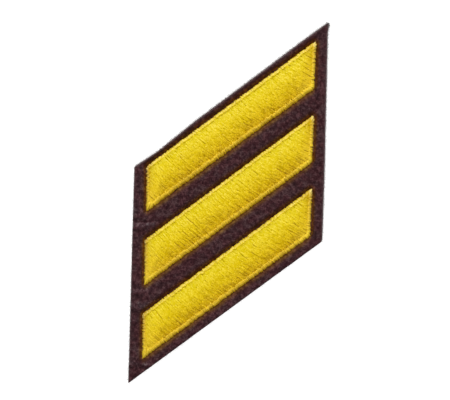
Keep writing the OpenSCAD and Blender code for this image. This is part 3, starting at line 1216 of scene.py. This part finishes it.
def thread_material(name, stops, surface, dull_sum, pale):
    """Gold thread. Pale is 0 in a field; in a border it sets how strongly the painted highlights and the
    painted shade at the feet show, and it turns down the painted shade at the needle holes.
    """
    material, make = new_material(name)
    numbers = ("upward", "tone", "along", "sunk", "near_end", "left_end", "low_end")
    upward, tone, along, sunk, near_end, left_end, low_end = [attribute(make, each) for each in numbers]
    streaks, grain, filaments = [strand_noise(make, each) for each in STRAND_NOISES]
    patches, dots, specks = [place_noise(make, each) for each in PLACE_NOISES]

    dull_sources = tone * dull_sum["tone"] + streaks + grain * GRAIN_WEIGHT + specks * dull_sum["specks"]
    dullness = make.between(dull_sources - dull_sum["level"], 0.0, 1.0)
    downward = (1 - upward) * (1 - upward)
    # Dullness at random is the thread's own tone. The extra darkening and the dark patches low on the bar,
    # where the lamp's light grazes it, are painted shade.
    dull_and_low_shade = dullness * (downward * LOW_PAINTED_SHADE + LEAST_DULLNESS) + patches * downward * LOW_PATCH_SHADE
    groove = sunk * upward * upward
    hole = make.between(make.from_middle(along), *NEAR_HOLES) * (1 - pale)
    outer = stretch_along(make, along, OUTER_SLOPE) * upward
    crown = stretch_along(make, along, CROWN) * (1 - upward)
    inner = make.between(along, *INNER_FOOT, 0.0, pale) * upward
    layers = [
        (TINT, dull_and_low_shade * dull_sum["strength"], DULL_AND_SHADE_TINT),
        (TINT, groove * (dots * 1.2 + tone * 0.7 + near_end), GROOVE_TINT),
        # Painted shade where a stitch dips into a needle hole.
        (TINT, hole, HOLE_SHADE_TINT),
        # Painted highlight on the upper border's outer slope, broken by darker specks, and on the lower
        # border's crown.
        (TINT, outer * (1.3 - specks - tone * 0.6) * pale, SPECK_TINT),
        (COVER, outer * (tone * 1.3 + specks - 0.3) * pale, OUTER_HIGHLIGHT_GOLD),
        (COVER, crown * (tone * 0.3 + specks - 0.3) * pale * 0.26, CROWN_HIGHLIGHT_GOLD),
        # Painted shade on the shoulders near the ends, which face away from the lamp.
        (TINT, near_end * upward * 1.4, END_SHADE_TINT),
        (TINT, left_end, LEFT_END_SHADE_TINT),
        # Painted highlight at the two upper tips.
        (COVER, make.between(near_end * upward, *AT_TIP, 0.0, pale) * 0.7, TIP_HIGHLIGHT_GOLD),
        # Painted sheen low at both ends of a bar.
        (COVER, low_end * 0.6, LOW_END_SHEEN_GOLD),
        # Painted shade at the outer foot of a border stitch, and dotted painted shade at its inner foot.
        (TINT, make.between(along, *OUTER_FOOT, pale, 0.0), FOOT_SHADE_TINT),
        (TINT, inner * (dots * 0.7 + tone * 0.3), INNER_FOOT_SHADE_TINT),
    ]
    # Painted light and shade: the colour follows how far up the bar the strand lies.
    colour = ramp(make, stops, upward * 0.8 + (streaks - 0.5) * 0.4 + 0.15)
    finish = {
        "Base Color": layered(make, colour, layers),
        "Roughness": streaks * 0.12 + surface["roughness"],
        "Normal": bump(make, filaments, 0.5, 0.05),
        "Specular IOR Level": surface["gloss"],
        "Coat Weight": (1 - dullness) * (0.5 + upward * 0.5) * (1 - groove * 0.8),
        "Coat Roughness": COAT_ROUGHNESS,
    }
    finish_material(make, finish)
    return material


field_thread = thread_material(
    "gold_field_thread",
    FIELD_GOLDS,
    {"roughness": 0.45, "gloss": 0.04},
    {"tone": 0.65, "specks": 0.9, "level": 1.125, "strength": 0.9},
    0.0,
)
border_thread = thread_material(
    "gold_border_thread",
    BORDER_GOLDS,
    {"roughness": 0.35, "gloss": 0.12},
    {"tone": 0.335, "specks": 0.99, "level": 1.035, "strength": 0.6},
    0.9,
)
print("thread finishes:", field_thread.name, border_thread.name)

# %% [markdown]
# The padding and the cords are stitched too, and show only in the gaps between strands. Their
# finish is a darker gold with streaks drawn out along one direction.

# %% Material under the threads
UNDER_LIGHT = (0.78, 0.52, 0.01, 1)
UNDER_DARK = (0.60, 0.36, 0.005, 1)
UNDER_TURN = (0.0, 0.0, math.radians(35))
UNDER_CELLS = (500.0, 2600.0, 500.0)


def under_thread_material(name):
    material, make = new_material(name)
    sockets = {"Vector": object_place(make), "Rotation": UNDER_TURN}
    turned = make.node("ShaderNodeMapping", None, sockets)
    streaks = make.noise(make.vector("MULTIPLY", turned, UNDER_CELLS), 1.0, 2.0)
    colour = layered(make, UNDER_DARK, [(COVER, streaks, UNDER_LIGHT)])
    normal = bump(make, streaks, 0.6, 0.08)
    finish_material(make, {"Base Color": colour, "Roughness": streaks * 0.2 + 0.6, "Normal": normal})
    return material


under_thread = under_thread_material("gold_under_thread")
print("finish under them:", under_thread.name)

# %% [markdown]
# ## Maps for the strands
# Each strand gets a place of its own on two maps. On the winding map, distances along a strand
# are real and one turn round it is one unit, and the finish draws its filaments there. On the
# flat map the strands lie side by side in a box, each as a strip between the two discs of its
# ends, beside the padding.

# %% Maps for strands
STRAND_BOX = (0, 0, 0.84, 1)
END_SHARE = 0.08
STRIP_SHARE = 0.88
DISC_FILL = 0.8
WINDING_STEP = 7.3
BEFORE_SEAM = 0.6
AFTER_SEAM = 0.3


def numbers_of(items, name, kind=np.int32, size=1):
    found = np.zeros(len(items) * size, kind)
    items.foreach_get(name, found)
    return found


def attribute_of(mesh, name, kind=np.float32):
    return numbers_of(mesh.attributes[name].data, "value", kind)


def map_strands(item, columns, box=STRAND_BOX):
    """Writes both maps for every strand of a piece, with this many strands in a row."""
    mesh = item.data
    corner_vertex = numbers_of(mesh.loops, "vertex_index")
    face_size = numbers_of(mesh.polygons, "loop_total")
    face = np.repeat(np.arange(len(face_size)), face_size)
    first = np.concatenate([[0], np.cumsum(face_size)[:-1]])
    is_thread = numbers_of(mesh.polygons, "material_index")[face] == 0
    is_end = face_size[face] != 4

    along = attribute_of(mesh, "along")[corner_vertex]
    around = attribute_of(mesh, "around")[corner_vertex]
    passes_seam = np.maximum.reduceat(around, first)[face] > BEFORE_SEAM
    around = np.where(passes_seam & (around < AFTER_SEAM) & ~is_end, around + 1, around)
    length = attribute_of(mesh, "length")[corner_vertex] / MM
    number = attribute_of(mesh, "strand", np.int32)[corner_vertex]
    winding = np.stack([along * length + number * WINDING_STEP, around], axis=1)
    mesh.uv_layers.new(name="winding").uv.foreach_set("vector", winding.astype(np.float32).ravel())

    disc = END_SHARE / 2
    turn = around * 2 * math.pi
    end_u = np.where(along > 0.5, 1 - disc, disc) + DISC_FILL * disc * np.cos(turn)
    end_v = 0.5 + STRIP_SHARE / 2 * np.sin(turn)
    cell_u = np.where(is_end, end_u, END_SHARE + (1 - 2 * END_SHARE) * along)
    cell_v = np.where(is_end, end_v, (1 - STRIP_SHARE) / 2 + STRIP_SHARE * around)
    rows = math.ceil((number.max() + 1) / columns)
    left, low, right, high = box
    u = left + (right - left) * (number % columns + cell_u) / columns
    v = low + (high - low) * (number // columns + cell_v) / rows
    if FLAT_MAP not in mesh.uv_layers:
        mesh.uv_layers.new(name=FLAT_MAP)
    flat = mesh.uv_layers[FLAT_MAP].uv
    places = numbers_of(flat, "vector", np.float32, 2).reshape(-1, 2)
    places[is_thread] = np.stack([u, v], axis=1)[is_thread]
    flat.foreach_set("vector", places.ravel())


# %% [markdown]
# ## The six pieces of stitching
# Each bar gets a field and a border, and each takes the place of its plain solid. Their points
# carry where they are on the bar: how far up it, how near its ends, and how deep in the groove
# that runs inside the border along the bar's upper edge and its right end.

# %% Stitch the bars
STITCHING = {
    # the tree, its sizes and its thread, and how many strands lie in a row of the map
    "field": (field_tree, FIELD_SIZES, field_thread, 18),
    "border": (border_tree, BORDER_SIZES, border_thread, 20),
}
RIGHT_REACH = 4.5
LEFT_REACH = 1.5
LEFT_SHADE_REACH = 3.2
LOW_END_REACH = 6.5
LOW_END_FALL = 1.2
GROOVE_REACH = 1.3
GROOVED = [UPPER, RIGHT]


def mark_places(mesh, bar):
    """Stores where on its bar each point of a piece lies, as shares from 0 to 1."""
    places = numbers_of(mesh.vertices, "co", np.float32, 3).reshape(-1, 3)[:, :2] / MM
    inside = side_distances(places, bar_corners(bar))
    lower, right, upper, left = inside.T
    upward = np.clip(lower / (lower + upper), 0, 1)
    past_border = inside[:, GROOVED] - FIELD_INSETS[GROOVED]
    depth = (1 - eased(past_border / GROOVE_REACH)) * (past_border > 0)
    low_end = (1 - eased(np.minimum(right, left) / LOW_END_REACH)) * (1 - upward) ** LOW_END_FALL
    numbers = {
        "upward": upward,
        "near_end": 1 - eased(np.minimum(right / RIGHT_REACH, left / LEFT_REACH)),
        "low_end": low_end,
        "left_end": 1 - eased(left / LEFT_SHADE_REACH),
        "sunk": depth.max(axis=1),
    }
    write_numbers(mesh, numbers)


def stitch_piece(bar, kind, guide, under_mesh, seed):
    """Runs a tree over its padding or cord, and removes that helper object afterwards."""
    tree, sizes, thread, columns = STITCHING[kind]
    under = add_object("under", under_mesh)
    others = {"Under": under, "Thread": thread, "Under Thread": under_thread, "Seed": seed}
    made = run_tree(tree, f"{bar}_{kind}", guide, {**sizes, **others})
    bpy.data.objects.remove(under)
    map_strands(made, columns)
    mark_places(made.data, bar)
    print(made.name, "faces:", len(made.data.polygons))
    return made


fields, borders = {}, {}
for step, bar in enumerate(BAR_STEPS, 1):
    seed = 100 * step
    fields[bar] = stitch_piece(bar, "field", hole_mesh(bar, seed), pad_mesh(bar), seed)
    borders[bar] = stitch_piece(bar, "border", rail_mesh(bar), cord_mesh(bar), seed + 50)

# %% [markdown]
# ## Felt finish
# Wool felt is matt, and its colour is mottled, because fibres of several shades are pressed
# together. A line of painted brown shade lies along the stitches, and below a bar the felt is
# painted lighter where the thread throws its warm light. The side of a fold that faces the lamp
# is painted lighter and the other side darker. The rim is pale on its face, but not down its cut
# wall, from frayed wool and from painted light on the edges that face the lamp.

# %% Felt material
FELT_DARK = (0.018, 0.0045, 0.0065, 1)
FELT_MIDDLE = (0.045, 0.0145, 0.0185, 1)
FELT_LIGHT = (0.105, 0.046, 0.052, 1)
FELT_FRAYED_AND_LIT = (0.21, 0.15, 0.158, 1)
ASH_TINT = (0.9, 1.12, 1.08, 1)
SHADED_TINT = (1.05, 0.8, 0.0, 1)
GLOW_TINT = (3.4, 3.8, 0.7, 1)
GLOW_COLOUR = (0.18, 0.075, 0.015, 1)
FOLD_LIT_SIDE_TINT = (1.6, 2.3, 2.2, 1)
FOLD_SHADED_SIDE_TINT = (0.68, 0.68, 0.68, 1)
CLUMP_CELLS = 1100.0
HAIR_CELLS = 3500.0
ASH_CELLS = 520.0
FULL_FRAY_AND_RIM_LIGHT = 0.75
CUT_WALL = (0.7 * MM, 1.2 * MM)
FULL_LIT_SIDE = 0.24
FULL_SHADED_SIDE = -0.28


def felt_material(name):
    material, make = new_material(name)
    place = object_place(make)
    clumps = make.noise(place, CLUMP_CELLS, 3.0, Roughness=0.7)
    hairs = make.noise(place, HAIR_CELLS, 2.0)
    ash = make.noise(place, ASH_CELLS, 1.0)
    shade = make.between(clumps * 0.65 + hairs * 0.35, 0.32, 0.68)
    on_face = make.between(make.parts(place)[2], *CUT_WALL)
    frayed_and_lit = make.between(attribute(make, "fray"), 0.0, FULL_FRAY_AND_RIM_LIGHT) * on_face
    glow = attribute(make, "glow") * make.between(ash, 0.35, 0.65, 0.6, 1.35)
    fold = attribute(make, "fold")
    layers = [
        (TINT, make.between(ash, 0.4, 0.6), ASH_TINT),
        # Pale rim: frayed wool and painted light on the edges that face the lamp.
        (COVER, frayed_and_lit, FELT_FRAYED_AND_LIT),
        (TINT, glow, GLOW_TINT),
        (COVER, glow * 0.5, GLOW_COLOUR),
        (TINT, attribute(make, "near_thread"), SHADED_TINT),
        # Painted light and shade on the sides of the folds, by which way each side faces the lamp.
        (TINT, make.between(fold, 0.0, FULL_LIT_SIDE), FOLD_LIT_SIDE_TINT),
        (TINT, make.between(fold, FULL_SHADED_SIDE, 0.0, 1.0, 0.0), FOLD_SHADED_SIDE_TINT),
    ]
    colour = ramp(make, [(0.0, FELT_DARK), (0.5, FELT_MIDDLE), (1.0, FELT_LIGHT)], shade)
    finish = {
        "Base Color": layered(make, colour, layers),
        "Roughness": shade * 0.1 + 0.85,
        "Normal": bump(make, clumps + hairs * 0.5, 0.8, 0.1),
        "Specular IOR Level": 0.04,
        "Sheen Weight": 0.03,
        "Sheen Roughness": 0.6,
    }
    finish_material(make, finish)
    return material


felt_finish = felt_material("plum_felt")
felt_mesh.materials.append(felt_finish)
print("felt finish:", felt_finish.name)

# %% [markdown]
# ## Loose fibres
# Felt has no weave. What shows is its nap, short fibres that lie every way on the face. Where a
# cut edge is frayed they are thick and point outwards, which makes the edge look soft. They have
# the felt's own colours, with a few pale ones among them.

# %% Fibre material
FIBRE_PALE = (0.19, 0.13, 0.14, 1)


def fibre_material(name):
    material, make = new_material(name)
    share = attribute(make, "tone")
    stops = [(0.0, FELT_DARK), (0.6, FELT_MIDDLE), (0.9, FELT_LIGHT), (1.0, FIBRE_PALE)]
    colour = ramp(make, stops, share)
    surface = {"Base Color": colour, "Roughness": share * 0.1 + 0.75, "Specular IOR Level": 0.2}
    finish_material(make, surface)
    return material


fibre_finish = fibre_material("plum_fibre")
print("fibre finish:", fibre_finish.name)

# %% [markdown]
# A tree scatters the fibres over the sheet and turns each one by the slope of the felt under it.
# Each is a strand of one unit, which gets its length and width as it is bent. None grow on the
# back or where the thread covers the felt.

# %% Tree for the nap
NAP_SIZES = {
    "Density": 1.2e6,
    "Fray Density": 1.6e8,
    "Fibre Length": 0.5 * MM,
    "Fibre Width": 0.03 * MM,
    "Outward Pull": 1.6,
    "Seed": 500,
}
FACE_SLOPE = 0.2
ANY_WAY = (-1.0, 1.0)
RISES = (-0.02, 0.25)
FIBRE_SIZES = (0.5, 1.4)
FIBRE_BENDS = (0.4, 1.2)
SIDE_BEND = 0.35
RISE_BEND = 0.08


def build_nap_tree():
    tree, make, given = new_tree("nap_fibres", NAP_SIZES, {"Fibre": "Material"})
    seed, length, thick = given["Seed"], given["Fibre Length"], given["Fibre Width"]
    facing_up = make.maths("GREATER_THAN", make.parts(make.node("GeometryNodeInputNormal"))[2], FACE_SLOPE)
    on_face = given["Density"] * (1 - named(make, "near_thread"))
    density = (on_face + named(make, "fray") * given["Fray Density"]) * facing_up
    sockets = {"Mesh": given["Geometry"], "Density": density, "Seed": seed}
    spots = make.node("GeometryNodeDistributePointsOnFaces", None, sockets)
    along = named(make, "along")
    x, y, z = own_place(make)
    sideways = y * thick + along * along * length * SIDE_BEND
    lift = z * thick + make.maths("SINE", along * math.pi) * length * RISE_BEND
    one = moved_to(make, strand(make, 1.0, 1.0, 1.0, 4, 3), x * length, sideways, lift)
    spans = (ANY_WAY, ANY_WAY, RISES)
    any_way = make.xyz(*[chance(make, span, seed + step) for step, span in enumerate(spans, 1)])
    pull = make.xyz(given["Outward Pull"], given["Outward Pull"], 0.0)
    heading = make.vector("ADD", any_way, make.vector("MULTIPLY", spots.out("Normal"), pull))
    size = chance(make, FIBRE_SIZES, seed + 4)
    scale = (size, chance(make, FIBRE_BENDS, seed + 5), size)
    numbers = {"tone": chance(make, ANY_TONE, seed + 6), "length": length}
    laid = lay_strands(make, spots, one, heading, scale, numbers)
    end_tree(make, (smooth(make, laid), given["Fibre"]))
    return tree


nap_ground = felt_mesh.copy()
nap_ground.uv_layers.remove(nap_ground.uv_layers[FLAT_MAP])
nap = run_tree(build_nap_tree(), "felt_nap", nap_ground, {**NAP_SIZES, "Fibre": fibre_finish})
map_strands(nap, 80, WHOLE_MAP)
print("fibres:", attribute_of(nap.data, "strand", np.int32).max() + 1, "faces:", len(nap.data.polygons))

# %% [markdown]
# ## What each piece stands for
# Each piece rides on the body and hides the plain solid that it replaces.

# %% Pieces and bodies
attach(felt_sheet, "root")
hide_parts("felt_ground")
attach(nap, "root")
for bar in BAR_STEPS:
    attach(fields[bar], "root")
    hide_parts(f"{bar}_fill")
    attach(borders[bar], "root")
    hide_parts(f"{bar}_edging")

# %% [markdown]
# ## Floor
# The patch lies on a plain white floor, which gives off a little light of its own, so that it
# stays as white as the photograph's ground.

# %% Floor
FLOOR_HALF = 1.5
FLOOR_CORNERS = [(-1, -1), (1, -1), (1, 1), (-1, 1)]
floor_mesh = bpy.data.meshes.new("floor")
floor_mesh.from_pydata([(x * FLOOR_HALF, y * FLOOR_HALF, 0) for x, y in FLOOR_CORNERS], [], [(0, 1, 2, 3)])
floor = add_object("floor", floor_mesh)
floor_finish, make = new_material("white_floor")
floor_surface = {
    "Base Color": (0.4, 0.4, 0.4, 1),
    "Roughness": 0.9,
    "Specular IOR Level": 0.0,
    "Emission Color": (1, 1, 1, 1),
    "Emission Strength": 0.9,
}
finish_material(make, floor_surface)
floor_mesh.materials.append(floor_finish)
print("floor in mm:", 2 * FLOOR_HALF / MM)

# %% [markdown]
# ## Light
# One broad lamp stands beyond the patch's upper edge, which is where the light comes from in the
# photograph. A much weaker, warmer one stands beyond its lower edge, and an even white sky fills
# the shadows.

# %% Lamps
LAMP_DISTANCE = 1.2
LAMP_SIZE = 0.6
SKY_STRENGTH = 0.3


def area_lamp(name, azimuth, elevation, power, colour):
    """A square lamp that shines on the patch. Azimuth 0 is up the sleeve, and it turns to the left."""
    lamp = add_object(name, bpy.data.lights.new(name, "AREA"))
    lamp.data.shape = "SQUARE"
    lamp.data.size = LAMP_SIZE
    lamp.data.energy = power
    lamp.data.color = colour
    turn, rise = math.radians(azimuth), math.radians(elevation)
    towards = Vector((-math.sin(turn) * math.cos(rise), math.cos(turn) * math.cos(rise), math.sin(rise)))
    lamp.location = towards * LAMP_DISTANCE
    lamp.rotation_euler = (-towards).to_track_quat("-Z", "Y").to_euler()
    print(f"{name}: {power} W")


area_lamp("key_lamp", 6, 46, 13.6, (1.0, 1.0, 0.96))
area_lamp("low_lamp", 180, 40, 2.5, (1.0, 0.92, 0.85))

world = bpy.data.worlds.new("studio")
world.use_nodes = True
sky = world.node_tree.nodes["Background"].inputs
sky["Color"].default_value = (1, 1, 1, 1)
sky["Strength"].default_value = SKY_STRENGTH
bpy.context.scene.world = world
bpy.context.scene.view_settings.view_transform = "Standard"
